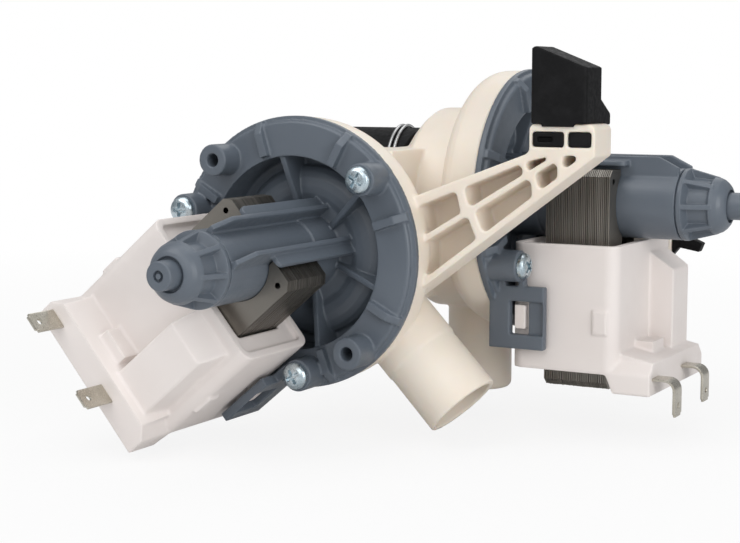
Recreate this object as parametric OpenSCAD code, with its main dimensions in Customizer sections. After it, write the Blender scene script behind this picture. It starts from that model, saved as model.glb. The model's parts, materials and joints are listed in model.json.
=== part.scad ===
// Twin drain pump of a washing machine: two synchronous motors on one cream pump housing.
// The origin is on the front motor's axis, in the plane of its boss tops.
// The front motor points along -Y and the rear motor along +X, and +Z is up.
// Each motor is drawn in its own frame: z along the shaft from the flange towards the tail,
// x towards the coil, and the flange's back face at z = 0.

/* [Pump places] */
// Lean of the front coil from straight down, towards -X, in degrees
front_lean = 50; // [40:1:60]
// Rear flange centre from the front one, along X
rear_dx = 48; // [47:0.5:52]
// Room from the front flange's back to the rear flange's near edge, along Y
rear_room = 20.5; // [19:0.5:28]
// Rear flange centre from the front one, along Z
rear_dz = 14; // [10:0.5:18]

/* [Motor cover] */
// Thickness of the flange at its edge
flange_t = 2; // [1.6:0.1:2.6]
// Width of the raised ring on the flange
face_w = 10.5; // [10.2:0.1:11]
// Width of the flange's rim outside the raised ring
rim_step = 1.4; // [1:0.1:2]
// Height of the raised ring's face above the flange's back
face_h = 3.6; // [3:0.1:4.4]
// Radius of the trough inside the raised ring
trough_r = 29.1; // [28:0.1:29.4]
// Depth of the trough below the flange's back
trough_depth = 8.5; // [7:0.1:8.7]
// Wall of the cover
cover_wall = 2; // [1.6:0.1:2.2]
// Distance of the screw bosses' circle outside the trough
boss_in = 6.9; // [6.7:0.1:7.2]
// Radius of a screw boss
boss_r = 4.8; // [4.4:0.05:4.9]
// Height of the boss tops above the flange's back
boss_top = 11.8; // [10:0.1:14]
// Radius of the holes in the two open bosses
boss_hole_r = 2; // [1.9:0.05:2.1]
// Radius of the holes in the three screwed bosses
screw_hole_r = 2.4; // [2.3:0.05:2.6]
// Outer radius of the rotor tube
tube_r = 10.9; // [10.6:0.05:11]
// Wall of the rotor tube
tube_wall = 1.5; // [1.2:0.05:1.6]
// Place of the tube's end, where the tail cap starts
tube_end = 52; // [50:0.5:56]
// Height of the fins' tops from the shaft axis
fin_top = 14.6; // [13.8:0.1:16]
// Thickness of the fins
fin_t = 1.5; // [1.2:0.1:1.8]
// Thickness of the small ribs on the cover
rib_t = 1.8; // [1.4:0.1:2.4]
// Thickness of the ribs on the raised ring
face_rib_t = 2.6; // [1.8:0.1:3.2]
// Thickness of a clip frame
clip_t = 2.8; // [2.2:0.1:3.2]
// Length of a clip frame along the shaft
clip_len = 18; // [16:0.1:20]
// Height of a clip frame, towards the coil
clip_h = 19.2; // [17:0.1:21]

/* [Tail cap] */
// Radius of the cap's ring
cap_ring_r = 11; // [10.8:0.1:12]
// Length of the cap's dome from the tube's end
cap_len = 14.2; // [13.6:0.2:18]
// Radius of the boss at the tip
tip_r = 4.1; // [3.6:0.1:4.5]
// Length of the boss at the tip
tip_len = 4.4; // [2:0.1:5]
// Thickness of the ribs round the cap
cap_rib_t = 1.5; // [1:0.1:2]
// Number of ribs round the cap
cap_ribs = 8; // [6:1:12]

/* [Stator] */
// Height of the lamination stack
stack = 20.8; // [18:0.2:22]
// Place of the stack's first sheet
core_z = 13.1; // [12:0.1:14]
// Half width of the core
core_hw = 16.5; // [16:0.1:17]
// End of the core's yoke from the shaft axis
core_bottom = 56.4; // [54:0.1:60]
// Height of the core's yoke
yoke_h = 12.6; // [10:0.1:12.8]
// End of the core's legs past the shaft axis
leg_end = 10.5; // [10:0.1:11]
// Width of a leg inside its coil
leg_w = 11; // [10:0.1:11.4]
// Thickness of a winding
coil_t = 3; // [2.6:0.1:3.1]
// Wall of a bobbin
bobbin_t = 0.9; // [0.7:0.05:1]

/* [Coil housing] */
// Half width of the housing
case_hw = 25; // [24.8:0.1:25.6]
// Place of the housing's flange side
case_z = 5.7; // [5.2:0.1:5.9]
// Depth of the housing along the shaft
case_len = 34; // [33.6:0.1:36]
// Top of the housing below the shaft axis
case_top = 11.5; // [11.3:0.1:12]
// Bottom of the housing below the shaft axis
case_bottom = 50; // [49:0.1:51]
// Wall of the housing
case_wall = 1.1; // [0.9:0.05:1.3]
// Radius of the housing's upright edges
case_round = 4; // [2:0.1:4.5]
// Reach of the terminal foot beyond the housing
foot_out = 10.8; // [9:0.1:13]
// Bottom of the terminal foot below the shaft axis
foot_bottom = 55.5; // [54:0.1:56]
// Reach of the raised bay beyond the housing
bay_out = 7.8; // [5:0.1:9]

/* [Terminals] */
// Width of a terminal blade
tab_w = 6.3; // [4.8:0.1:6.3]
// Thickness of a terminal blade
tab_t = 0.8; // [0.5:0.1:0.8]
// Length of a blade outside the foot
tab_len = 11.5; // [8:0.5:14]
// Reach of a bent blade from the foot to its outer face
bend_out = 7.1; // [5:0.1:9]
// Inner radius of the bend
bend_r = 2.6; // [1:0.1:3]
// Drop of a bent blade's tip from the blades' plane
tab_drop = 10.8; // [9:0.1:13]
// Spacing of the two blades
tab_pitch = 26.8; // [20:0.1:28]
// Sideways place of the middle between the blades
tab_mid = -6.2; // [-8:0.1:-4]
// Plane of the blades below the shaft axis
tab_x = 50.6; // [49:0.1:52]

/* [Rotor] */
// Radius of the shaft
shaft_r = 2; // [1.5:0.1:2]
// Radius of the magnet
magnet_r = 8.7; // [8:0.1:8.9]
// Length of the magnet
magnet_len = 32; // [28:1:34]
// Radius of the rotor hub inside the magnet
hub_r = 4.5; // [4:0.1:5]
// Free turn of the magnet against the impeller, each way, in degrees
free_turn = 90; // [60:5:100]
// Outer radius of a bush
bush_r = 4.6; // [4:0.1:5]
// Length of a bush
bush_len = 6; // [4:0.5:6]
// Radius of the impeller
impeller_r = 20.5; // [17:0.5:22]
// Height of the impeller's vanes
vane_h = 8.8; // [6:0.2:9.5]
// Thickness of a vane
vane_t = 1.8; // [1.2:0.1:2.4]
// Number of vanes
vanes = 5; // [4:1:8]
// Radial clearance of a turning fit
run_gap = 0.05; // [0.02:0.01:0.09]
// Clearance of a piece that is pushed into place
seat_gap = 0.05; // [0.02:0.01:0.1]

/* [Cover screws] */
// Radius of a screw head
head_r = 3.95; // [3.4:0.05:4.4]
// Height of a screw head
head_h = 2.6; // [2:0.1:3.2]
// Radius of a screw shank
screw_r = 1.6; // [1.4:0.05:1.7]
// Reach of the cross recess from a screw's axis
recess_r = 2.3; // [1.8:0.1:2.6]
// Width of the cross recess
recess_w = 1; // [0.7:0.05:1.3]
// Depth of the cross recess
recess_h = 1.5; // [0.8:0.1:1.8]
// Depth of a screw below the flange's back
screw_in = 9; // [7:0.5:9.5]

/* [Pump chambers] */
// Step from the flange's edge in to the drum behind it
drum_step = 0.5; // [0.2:0.1:1]
// Depth of the drum
drum_h = 13.3; // [12.8:0.1:14]
// Radius of the drum's rounded back edge
drum_round = 6.7; // [5:0.1:6.9]
// Wall of the cover's nose outside the trough
nose_wall = 2.3; // [2:0.1:2.6]
// Clearance round the cover's nose
nose_gap = 0.3; // [0.2:0.05:0.4]
// Radius of the dome behind the drum
dome_r = 28.7; // [28.4:0.1:29.5]
// Wall of the pump housing
wall = 2.2; // [1.8:0.1:2.4]
// Depth of the impeller chamber below the flange's back
chamber_end = 26; // [25.6:0.1:26.4]
// Radius of the suction eye
eye_r = 11; // [9:0.5:13]
// Radius of the inlet spigot
spigot_r = 17.4; // [16.5:0.1:18]
// Depth of the inlet spigot's end below the rear flange's back
spigot_end = 58; // [54:0.5:62]
// Height of the cover's flat seal
seal_h = 2; // [1.6:0.1:2.4]
// Width of the cover's flat seal
seal_w = 1.8; // [1.2:0.1:2]

/* [Sump body] */
// Left side of the sump body
sump_left = -20; // [-21:0.5:-17]
// Right side of the sump body
sump_right = 25.6; // [24.5:0.1:26.5]
// Top of the sump body
sump_top = 30.5; // [29:0.1:31.5]
// Bottom of the sump body
sump_bottom = -16.5; // [-18:0.1:-15]

/* [Outlets] */
// Outer radius of the front outlet
front_outlet_r = 11.75; // [11:0.05:12.2]
// Wall of the front outlet
front_outlet_wall = 1.75; // [1.4:0.05:2.2]
// Reach of the front outlet from the shaft axis
front_outlet_len = 65.7; // [60:0.1:75]
// Length of the front outlet that the drain hose is pushed over
front_grip = 20; // [16:0.5:24]
// Angle of the front outlet below level, in degrees
front_outlet_drop = 46; // [44:1:50]
// Offset of the front outlet from the shaft axis
front_outlet_off = 2.6; // [0:0.1:4]
// Depth of the outlets' axes below the flanges' backs
outlet_depth = 16.2; // [15.8:0.1:16.6]
// Outer radius of the rear outlet
rear_outlet_r = 10.2; // [9.5:0.05:11]
// Wall of the rear outlet
rear_outlet_wall = 2.2; // [1.8:0.05:3]
// Reach of the rear outlet from the shaft axis
rear_outlet_len = 62; // [56:0.5:72]
// Length of the rear outlet that its hose is pushed over
rear_grip = 18; // [14:0.5:19]
// Stop of the hoses, as the outlets' extra radius behind the grips
grip_step = 0.3; // [0.2:0.05:0.5]
// Radius of the rounded mouth of the rear outlet
mouth_round = 2; // [1:0.1:2.2]

/* [Bracket arm] */
// Front face of the arm behind the front flange's back
arm_front = 4.5; // [4:0.1:6]
// Depth of the arm
arm_depth = 12.6; // [11:0.1:14]
// Depth of the arm's pockets
pocket_depth = 10.4; // [6:0.1:10.8]
// Radius of the corners of the pockets
pocket_round = 1.3; // [0.8:0.1:2]
// Right end of the arm's head
head_x = 92.6; // [91.5:0.1:96]
// Width of the arm's head
head_w = 19.7; // [19.2:0.1:21]
// Top of the arm's head
head_z = 39.4; // [39:0.1:42]
// Radius of the head's corners
head_round = 1.8; // [1:0.1:2.4]
// Height of the windows in the head
window_h = 4.3; // [3.6:0.1:5]
// Web above the windows
window_web = 2.2; // [1.6:0.1:2.6]

/* [Rubber mounts] */
// Height of the block's tall side above the head
block_h = 21.4; // [16:0.2:26]
// Fall of the block's sloped top across its width
block_fall = 6; // [3:0.2:8]
// Width of the block
block_w = 16.6; // [12:0.1:17]
// Depth of the block
block_d = 12.3; // [11:0.1:13]
// Clearance of the rubber tongues in the windows
tongue_gap = 0.15; // [0.1:0.05:0.4]
// Length of the rear mount's arm from the rear flange
rear_arm_len = 34; // [30:0.5:38]

/* [Inlet hose] */
// Outer radius of the hose
hose_r = 22; // [21:0.1:22.6]
// Length of the hose
hose_len = 55; // [45:1:60]
// Start of the hose below the rear flange's back
hose_start = 36.8; // [36.6:0.1:38]
// Bore radius of the hose beyond its spigot
hose_bore_r = 17; // [16.2:0.1:17.3]
// Clearance of the hose on its spigot
hose_gap = 0.1; // [0.05:0.05:0.2]
// Radius of the clamp's wire
wire_r = 0.55; // [0.4:0.05:0.7]
// Spacing of the clamp's two turns
wire_pitch = 1.9; // [1.85:0.05:2.2]
// Place of the clamp from the hose's start
clamp_in = 7; // [6.9:0.1:12]
// Lean of the clamp on the hose, in degrees
clamp_lean = 12; // [0:0.5:12.5]
// Length of the clamp's ears
ear_len = 6; // [4:0.5:9]

/* [Hidden] */
$fn = 72;
eps = 0.01;

plastic_grey = [0.36, 0.39, 0.43];
plastic_cream = [0.93, 0.88, 0.81];
plastic_white = [0.90, 0.87, 0.86];
rubber_black = [0.13, 0.13, 0.14];
lamination_brown = [0.37, 0.34, 0.31];
copper = [0.72, 0.45, 0.25];
zinc = [0.75, 0.77, 0.78];
steel = [0.68, 0.69, 0.70];
tin = [0.66, 0.65, 0.60];
ferrite = [0.20, 0.20, 0.21];

// Places of the two pumps
face_r = trough_r + face_w;
flange_r = face_r + rim_step;
front_at = [0, boss_top, 0];
rear_dy = rear_room + flange_r;
rear_at = front_at + [rear_dx, rear_dy, rear_dz];

// Bosses on the flange: their circle, and their angles from the coil's direction
boss_circle_r = trough_r + boss_in;
screw_angles = [180, 60, -60];
open_angles = [90, -90];
face_rib_angles = [70, -70, 113, -113, 158, -158];
trough_rib_angles = [0, 66, -66, 122, -122, 180];

// Cover
tube_in = tube_r - tube_wall;
nose_r = trough_r + nose_wall;
bore_r = nose_r + nose_gap;
nose_z = -trough_depth - cover_wall;
bulge_mid = (trough_r + tube_r) / 2;
bulge_half = (trough_r - tube_r) / 2 - 3;
bulge_rise = 4.4;
collar_r = tube_r + 0.7;
collar_top = 8;
root_z = -trough_depth + bulge_rise - 0.5;
chamber_wall_z = -1.4;
fin_y = 6;
fin_start = -6.5;
ledge_end = core_z + stack + 2.6;
ledge_y = 10.5;
ledge_t = 1.6;
ledge_x = -leg_end - 1.1;
clip_in = case_hw + 1.2;
clip_x = 24.5;
clip_z = 0.2;
window_z = 7;
window_len = 5.8;
window_x = clip_x + 4.6;
window_hx = clip_h - 9;
recess_len = 5;
recess_t = 1.4;

// Tail cap: depth of its two ring grooves, and radius of the stub in the tip's groove
moat_h = 1.3;
gate_r = 0.8;

// Core
core_top_z = core_z + stack;
pole_gap = 0.35;
pole_r = tube_r + pole_gap;
slot_y = 7.3;
corner_cut = 2;
rivet_r = 0.9;
leg_in = core_hw - leg_w;
window_end = core_bottom - yoke_h;

// Coil housing
case_end = case_z + case_len;
core_gap = 0.3;
lid_x = case_top + 1.5;
rim_w = 2.4;
nub_h = 7.5;
foot_top = 46;
foot_cut = 3.4;
bay_x = 15;
bay_y = 4;
bay_w = 16;
nub_out = 2.2;
nub_z = 32.4;
nub_len = 4.6;

// Bobbins
bobbin_x = lid_x + case_wall + 0.4;
bobbin_end = window_end - 0.4;
flange_w = 0.9;
bobbin_gap = 0.2;

// Rotor
shaft_front = -chamber_end + 4.5;
shaft_back = tube_end + 10.5;
magnet_z = 14;
lug_z = 7.5;
dog_z = 5.2;
lug_r = magnet_r - 0.6;
lug_half = 45;
dog_half = 180 - free_turn - lug_half - 1;
nose_bush_z = nose_z + 0.9;
tail_bush_z = tube_end + 4.8;
disc_z = nose_z - 1.7;
disc_t = 2;

// Drum
chamber_r = dome_r - wall;
eye_t = 2.5;
suction_z = chamber_end + eye_t;
dome_end = chamber_end + 2.5;
shoulder_z = hose_start - 0.3;
hose_seat = spigot_end - hose_start + 0.4;
volute_r = 32;
volute_shift = 3.3;
volute_end = 27;
counter_r = nose_r + 0.1 + seal_w + 0.1;
pilot_r = screw_r + seat_gap;
drum_r = flange_r - drum_step;
relief_in = counter_r + 1.5;
relief_out = drum_r - wall;
relief_h = 4.4;

// Sump body: its backs stay clear of the hose and its clamp
sump_back = rear_dy - hose_r - 2.7;
neck_back = rear_dy - 14.5;
neck_wall = 4.5;
pad_back = rear_dy - 13.5;
sump_front = 12;
pad_front = 14;

// Arm: its outline and the lines that its pockets lie between
arm_root_x = 34;
arm_top_x = 39.7;
arm_top_z = 18.9;
head_left = head_x - head_w;
head_foot_z = 31.2;
arm_low_z = -10.4;
arm_low_x = 37.6;
arm_end_z = 30.5;
function low_line(x) = arm_low_z + (x - arm_low_x) * (arm_end_z - arm_low_z) / (head_x - arm_low_x);
function pocket_low(x) = low_line(x) + 2.3;
function pocket_mid(x) = 5.3 + (x - 39.8) * 0.6;
function pocket_up(x) = min(14.9 + (x - 38) * 0.405, head_foot_z - 0.6);
mid_rib = 1;
upper_pockets = [[38, 50.2, 39.6, 51.8], [52.8, 70.2, 54.4, 71.4], [72, 79.8, 72.4, 79.4]];
lower_pockets = [[40, 53.8, 40, 56.8], [56.3, 73.4, 59, 73.9], [74.8, 81.4, 76.1, 81.5]];
corner_pocket = [[82.9, 30.7], [89, 30.7], [83.1, 26.5]];
window_wall = 1.2;
window_round = 0.5;
window_split = head_left + 0.9 + 9.5;
tongue_slot = [4.6, 1.4, 1.3];

// Rubber block: its upright edges, and the lip that hangs over the head's front
block_round = 1.1;
lip_t = 0.8;

// Rear mount
rear_arm_y = flange_r + 0.6;
rear_arm_t = 4;
rear_arm_x = 14.5;
rear_arm_h = 6;
rear_foot = [12, 12, 9];
finger_len = 10.4;
finger_neck = 2.3;

module at_front() {
    translate(front_at) rotate([0, 90 + front_lean, 0]) rotate([90, 0, 0]) children();
}

module at_rear() {
    translate(rear_at) rotate([0, 90, 0]) children();
}

// An outline drawn in (z, y) and extruded along x
module along_x(x0, x1) {
    translate([x0, 0, 0]) rotate([0, 90, 0]) linear_extrude(x1 - x0) mirror([1, 0]) children();
}

// An outline drawn in (x, z) and extruded along y
module along_y(y0, y1) {
    translate([0, y1, 0]) rotate([90, 0, 0]) linear_extrude(y1 - y0) children();
}

module rounded_square(low, high, r) {
    translate([low[0] + r, low[1]]) square([high[0] - low[0] - 2 * r, high[1] - low[1]]);
    translate([low[0], low[1] + r]) square([high[0] - low[0], high[1] - low[1] - 2 * r]);
    for (x = [low[0] + r, high[0] - r])
        for (y = [low[1] + r, high[1] - r])
            translate([x, y]) circle(r, $fn = 32);
}

function unit(v) = v / norm(v);

// Arc of radius r that rounds the corner q between its neighbours p and s
function corner(p, q, s, r) =
    let (u = unit(p - q), v = unit(s - q), half = acos(u * v) / 2, c = q + unit(u + v) * r / sin(half),
        a = q + u * r / tan(half) - c, b = q + v * r / tan(half) - c)
    [for (k = [0:4]) c + r * unit(a * (1 - k / 4) + b * k / 4)];

// Largest radius at the corner q whose arc takes less than half of either edge
function corner_room(p, q, s) =
    0.45 * min(norm(p - q), norm(s - q)) * tan(acos(unit(p - q) * unit(s - q)) / 2);

// An outline with all its corners rounded, less where its edges are short
function rounded(points, r) =
    let (n = len(points))
    [for (i = [0:n - 1]) let (p = points[(i + n - 1) % n], q = points[i], s = points[(i + 1) % n])
        each corner(p, q, s, min(r, corner_room(p, q, s)))];

module ring(r_in, r_out, z0, z1) {
    translate([0, 0, z0]) difference() {
        cylinder(r = r_out, h = z1 - z0);
        translate([0, 0, -1]) cylinder(r = r_in, h = z1 - z0 + 2);
    }
}

module sector(r_in, r_out, z0, z1, half) {
    rotate([0, 0, -half]) rotate_extrude(angle = 2 * half)
        translate([r_in, z0]) square([r_out - r_in, z1 - z0]);
}

// Motor cover
function bulge(radius, rise, z0, start) =
    [for (a = [start:22.5:180]) [bulge_mid - radius * cos(a), z0 + rise * sin(a)]];

module cover_shell() {
    dry = concat([[tube_r, tube_end], [tube_r, collar_top], [collar_r, collar_top],
            [collar_r, root_z]],
        bulge(bulge_half, bulge_rise, -trough_depth, 45),
        [[trough_r, -trough_depth], [trough_r, face_h], [face_r - 0.6, face_h],
            [face_r, face_h - 0.6], [face_r, flange_t], [flange_r, flange_t], [flange_r, 0],
            [nose_r, 0], [nose_r, nose_z]]);
    under = bulge(bulge_half - cover_wall, bulge_rise - 0.2, nose_z, 0);
    wet = concat([for (i = [len(under) - 1:-1:0]) under[i]],
        [[collar_r, nose_z], [bush_r + seat_gap, nose_z], [bush_r + seat_gap, nose_bush_z + bush_len],
            [shaft_r + 0.8, nose_bush_z + bush_len], [shaft_r + 0.8, chamber_wall_z],
            [tube_in, chamber_wall_z], [tube_in, tube_end]]);
    rotate_extrude() polygon(concat(dry, wet));
}

module face_rib() {
    along_y(-face_rib_t / 2, face_rib_t / 2)
        polygon([[trough_r + 0.9, flange_t], [trough_r + 0.9, face_h + 2.2], [face_r - 2.4, face_h + 2.2],
            [flange_r - 0.4, face_h - 0.4], [flange_r - 0.4, flange_t - 0.5],
            [trough_r + 0.9, flange_t - 0.5]]);
}

module trough_rib() {
    along_y(-rib_t / 2, rib_t / 2)
        polygon([[tube_in + 0.6, root_z - 3], [tube_in + 0.6, root_z + 0.6], [trough_r + 0.5, face_h - 0.4],
            [trough_r + 0.5, -trough_depth - 0.5], [tube_in + 3, -trough_depth - 0.5]]);
}

module fin() {
    translate([0, fin_y, 0]) along_y(-fin_t / 2, fin_t / 2)
        polygon([[-tube_in - 0.2, fin_start], [-fin_top, fin_start], [-fin_top, tube_end - 6.5],
            [-tube_r - 0.4, tube_end], [-tube_in + 1.5, tube_end], [-tube_in + 1.5, fin_start]]);
    inner = [ledge_end, fin_y];
    outer = [ledge_end, ledge_y];
    start = [fin_start, ledge_y];
    along_x(ledge_x - ledge_t, ledge_x)
        polygon(concat([[fin_start, fin_y], inner], corner(inner, outer, start, 2), [start]));
}

module clip_frame() {
    difference() {
        union() {
            translate([clip_x, clip_in, clip_z]) cube([clip_h, clip_t, clip_len]);
            translate([clip_x - 8, clip_in, flange_t - 0.5]) cube([10, clip_t, 4]);
            translate([clip_x - 5, clip_in, boss_top - 2]) cube([6, clip_t, 2]);
        }
        translate([window_x, clip_in - 1, window_z]) cube([window_hx, clip_t + 2, window_len]);
        translate([window_x, clip_in + recess_t, window_z + window_len - eps])
            cube([window_hx, clip_t, recess_len]);
    }
}

module motor_cover() {
    color(plastic_grey) difference() {
        union() {
            cover_shell();
            for (a = concat(screw_angles, open_angles))
                rotate([0, 0, a]) translate([boss_circle_r, 0, flange_t - 0.5])
                    cylinder(r = boss_r, h = boss_top - flange_t + 0.5);
            for (a = face_rib_angles) rotate([0, 0, a]) face_rib();
            for (a = trough_rib_angles) rotate([0, 0, a]) trough_rib();
            for (m = [0, 1]) mirror([0, m, 0]) {
                fin();
                clip_frame();
            }
        }
        for (a = open_angles)
            rotate([0, 0, a]) translate([boss_circle_r, 0, -1])
                cylinder(r = boss_hole_r, h = boss_top + 2);
        for (a = screw_angles)
            rotate([0, 0, a]) translate([boss_circle_r, 0, -1])
                cylinder(r = screw_hole_r, h = boss_top + 2);
    }
}

// Tail cap: a ring with a groove behind it, ribbed pockets, and a dome with a moat round its boss
module tail_cap() {
    end_z = tube_end + cap_len;
    floor_r = cap_ring_r - 2.9;
    pocket_end = end_z - 5.4;
    shoulder_r = cap_ring_r - 2.3;
    color(plastic_grey) difference() {
        union() {
            rotate_extrude() polygon([[0, tube_end - 4], [tube_in - seat_gap, tube_end - 4],
                [tube_in - seat_gap, tube_end], [tube_r - 0.5, tube_end], [tube_r - 0.5, tube_end + 0.4],
                [cap_ring_r, tube_end + 0.4], [cap_ring_r, tube_end + 1.8], [floor_r, tube_end + 3],
                [floor_r - 0.4, pocket_end], [shoulder_r, pocket_end + 0.8],
                [shoulder_r - 0.3, end_z - 3.5], [shoulder_r - 0.8, end_z - 2.3],
                [shoulder_r - 1.6, end_z - 1.3], [shoulder_r - 2.6, end_z - 0.5],
                [shoulder_r - 3.5, end_z - 0.1], [tip_r + 0.9, end_z], [tip_r + 0.7, end_z - moat_h],
                [tip_r, end_z - moat_h], [tip_r, end_z + tip_len - 0.4],
                [tip_r - 0.4, end_z + tip_len], [0, end_z + tip_len]]);
            for (i = [0:cap_ribs - 1]) rotate([0, 0, i * 360 / cap_ribs])
                along_y(-cap_rib_t / 2, cap_rib_t / 2)
                    polygon([[floor_r - 2, tube_end + 1], [cap_ring_r - 0.1, tube_end + 1],
                        [cap_ring_r - 0.1, tube_end + 1.8], [shoulder_r - 0.1, end_z - 3.8],
                        [floor_r - 2, end_z - 3.8]]);
        }
        translate([0, 0, tube_end - 5]) cylinder(r = tube_in - 1.6, h = tail_bush_z - tube_end + 5);
        translate([0, 0, tail_bush_z - 1]) cylinder(r = bush_r + seat_gap, h = bush_len + 1.1);
        ring(gate_r, 2 * gate_r, end_z + tip_len - moat_h, end_z + tip_len + 1);
    }
}

// Laminated core: two legs round the tube, joined by a yoke at the coil's end
module stator_core() {
    c = corner_cut;
    color(lamination_brown) translate([0, 0, core_z]) difference() {
        linear_extrude(stack) difference() {
            polygon([[-leg_end, -core_hw + c], [-leg_end + c, -core_hw],
                [core_bottom - c, -core_hw], [core_bottom, -core_hw + c],
                [core_bottom, core_hw - c], [core_bottom - c, core_hw],
                [-leg_end + c, core_hw], [-leg_end, core_hw - c]]);
            circle(pole_r);
            translate([-leg_end - 1, -slot_y]) square([leg_end + 1, 2 * slot_y]);
            translate([0, -leg_in]) square([window_end, 2 * leg_in]);
        }
        for (s = [-1, 1])
            translate([-7, s * 13.4, -1]) cylinder(r = rivet_r, h = stack + 2, $fn = 24);
    }
}

// Foot that the terminals leave from, with its two upper corners cut off
module terminal_foot() {
    intersection() {
        along_y(-case_hw, case_hw)
            polygon([[43.5, case_end - 3.5], [43.5, case_end - 0.5], [foot_top, case_end + foot_out],
                [foot_bottom, case_end + foot_out], [foot_bottom, case_end - 0.9],
                [case_bottom - 0.1, case_end - 3.3]]);
        translate([0, 0, case_end - 5]) linear_extrude(foot_out + 6)
            polygon([[40, -case_hw + foot_cut], [foot_top, -case_hw + foot_cut],
                [foot_top + foot_cut, -case_hw], [foot_bottom, -case_hw], [foot_bottom, case_hw],
                [foot_top + foot_cut, case_hw], [foot_top, case_hw - foot_cut], [40, case_hw - foot_cut]]);
    }
}

// Raised bay on the tail side, ramped towards the shaft, and the small block beside it
module raised_bay() {
    difference() {
        along_y(bay_y, bay_y + bay_w)
            polygon([[bay_x, case_end - 0.5], [bay_x + 5.5, case_end + bay_out],
                [foot_top - 1, case_end + bay_out], [foot_top - 1, case_end - 0.5]]);
        translate([bay_x, bay_y + bay_w, case_end]) rotate([10, 0, 0])
            translate([-1, 0, -2]) cube([40, 5, bay_out + 6]);
    }
    translate([foot_top - 4.5, -8.4, case_end - 0.5]) cube([5, 10, 6.5]);
}

// White housing over the coils
module coil_housing() {
    color(plastic_white) difference() {
        union() {
            along_x(case_top, case_bottom)
                rounded_square([case_z, -case_hw], [case_end, case_hw], case_round);
            terminal_foot();
            raised_bay();
            for (m = [0, 1]) mirror([0, m, 0]) {
                along_y(case_hw - 0.5, case_hw + nub_out)
                    polygon([[window_x + 1.2, window_z + 1], [window_x + 1.2 + nub_h, window_z + 1],
                        [window_x + 1.2 + nub_h, window_z + window_len - 1.2],
                        [window_x + 1.2, window_z + window_len - 1.2]]);
                translate([31, case_hw - 0.5, nub_z]) cube([7, 1.3, nub_len]);
            }
        }
        // hollow for the bobbins
        along_x(lid_x + case_wall, case_bottom - case_wall)
            rounded_square([case_z + case_wall, -case_hw + case_wall],
                [case_end - case_wall, case_hw - case_wall], case_round - case_wall);
        // sunk panel round the core, inside the rim
        along_x(case_top - 1, lid_x)
            rounded_square([case_z + rim_w, -case_hw + rim_w], [case_end - rim_w, case_hw - rim_w], 2);
        // way through for the core
        translate([case_top - 2, -core_hw - core_gap, core_z - core_gap])
            cube([core_bottom, 2 * (core_hw + core_gap), stack + 2 * core_gap]);
        // room for the blades in the foot
        for (s = [-1, 1])
            translate([tab_x - tab_t / 2 - seat_gap, tab_mid + s * tab_pitch / 2 - tab_w / 2 - seat_gap,
                    case_end + 1])
                cube([tab_t + 2 * seat_gap, tab_w + 2 * seat_gap, foot_out]);
    }
}

module bobbin_outline(grow) {
    translate([core_z - bobbin_gap - grow, leg_in - bobbin_gap - grow])
        square([stack + 2 * (bobbin_gap + grow), leg_w + 2 * (bobbin_gap + grow)]);
}

module coil_bobbins() {
    color(plastic_white) for (m = [0, 1]) mirror([0, m, 0]) difference() {
        union() {
            along_x(bobbin_x, bobbin_end) bobbin_outline(bobbin_t);
            along_x(bobbin_x, bobbin_x + flange_w) bobbin_outline(bobbin_t + coil_t + 0.3);
            along_x(bobbin_end - flange_w, bobbin_end) bobbin_outline(bobbin_t + coil_t + 0.3);
        }
        along_x(bobbin_x - 1, bobbin_end + 1) bobbin_outline(0);
    }
}

module coil_windings() {
    color(copper) for (m = [0, 1]) mirror([0, m, 0])
        along_x(bobbin_x + flange_w + seat_gap, bobbin_end - flange_w - seat_gap) difference() {
            bobbin_outline(bobbin_t + coil_t);
            bobbin_outline(bobbin_t + seat_gap);
        }
}

module blade(bent) {
    z0 = case_end + 1.2;
    z1 = case_end + foot_out;
    if (bent)
        difference() {
            bend_z = z1 + bend_out - bend_r - tab_t;
            bend_x = tab_t / 2 + bend_r;
            union() {
                translate([-tab_t / 2, -tab_w / 2, z0]) cube([tab_t, tab_w, bend_z - z0]);
                translate([bend_x, tab_w / 2, bend_z]) rotate([90, 0, 0]) rotate([0, 0, 90])
                    rotate_extrude(angle = 90) translate([bend_r, 0]) square([tab_t, tab_w]);
                translate([bend_x, -tab_w / 2, bend_z + bend_r])
                    cube([tab_drop - bend_x - 0.8, tab_w, tab_t]);
                translate([tab_drop - 1, -tab_w / 2 + 0.8, bend_z + bend_r]) cube([1, tab_w - 1.6, tab_t]);
            }
            translate([tab_drop - 3.4, 0, bend_z]) cylinder(r = 0.85, h = bend_r + 3, $fn = 24);
        }
    else
        difference() {
            union() {
                translate([-tab_t / 2, -tab_w / 2, z0]) cube([tab_t, tab_w, z1 - z0 + tab_len - 0.8]);
                translate([-tab_t / 2, -tab_w / 2 + 0.8, z1 + tab_len - 1]) cube([tab_t, tab_w - 1.6, 1]);
            }
            translate([-3, 0, z1 + tab_len - 3.4]) rotate([0, 90, 0]) cylinder(r = 0.85, h = 6, $fn = 24);
        }
}

module terminals(bent) {
    color(tin) for (s = [-1, 1])
        translate([tab_x, tab_mid + s * tab_pitch / 2, 0]) blade(bent);
}

module cover_screws() {
    color(zinc) for (a = screw_angles)
        rotate([0, 0, a]) translate([boss_circle_r, 0, 0]) difference() {
            union() {
                translate([0, 0, -screw_in]) cylinder(r = screw_r, h = screw_in + boss_top + 0.1);
                translate([0, 0, boss_top]) rotate_extrude()
                    polygon([[0, 0], [head_r, 0], [head_r, head_h * 0.45], [head_r * 0.9, head_h * 0.7],
                        [head_r * 0.7, head_h * 0.9], [head_r * 0.4, head_h], [0, head_h]]);
            }
            for (t = [0, 90])
                translate([0, 0, boss_top + head_h]) rotate([0, 0, t + 20])
                    cube([2 * recess_r, recess_w, 2 * recess_h], center = true);
        }
}

module cover_seal() {
    color(rubber_black) ring(nose_r + 0.1, nose_r + 0.1 + seal_w, -seal_h, 0);
}

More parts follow.
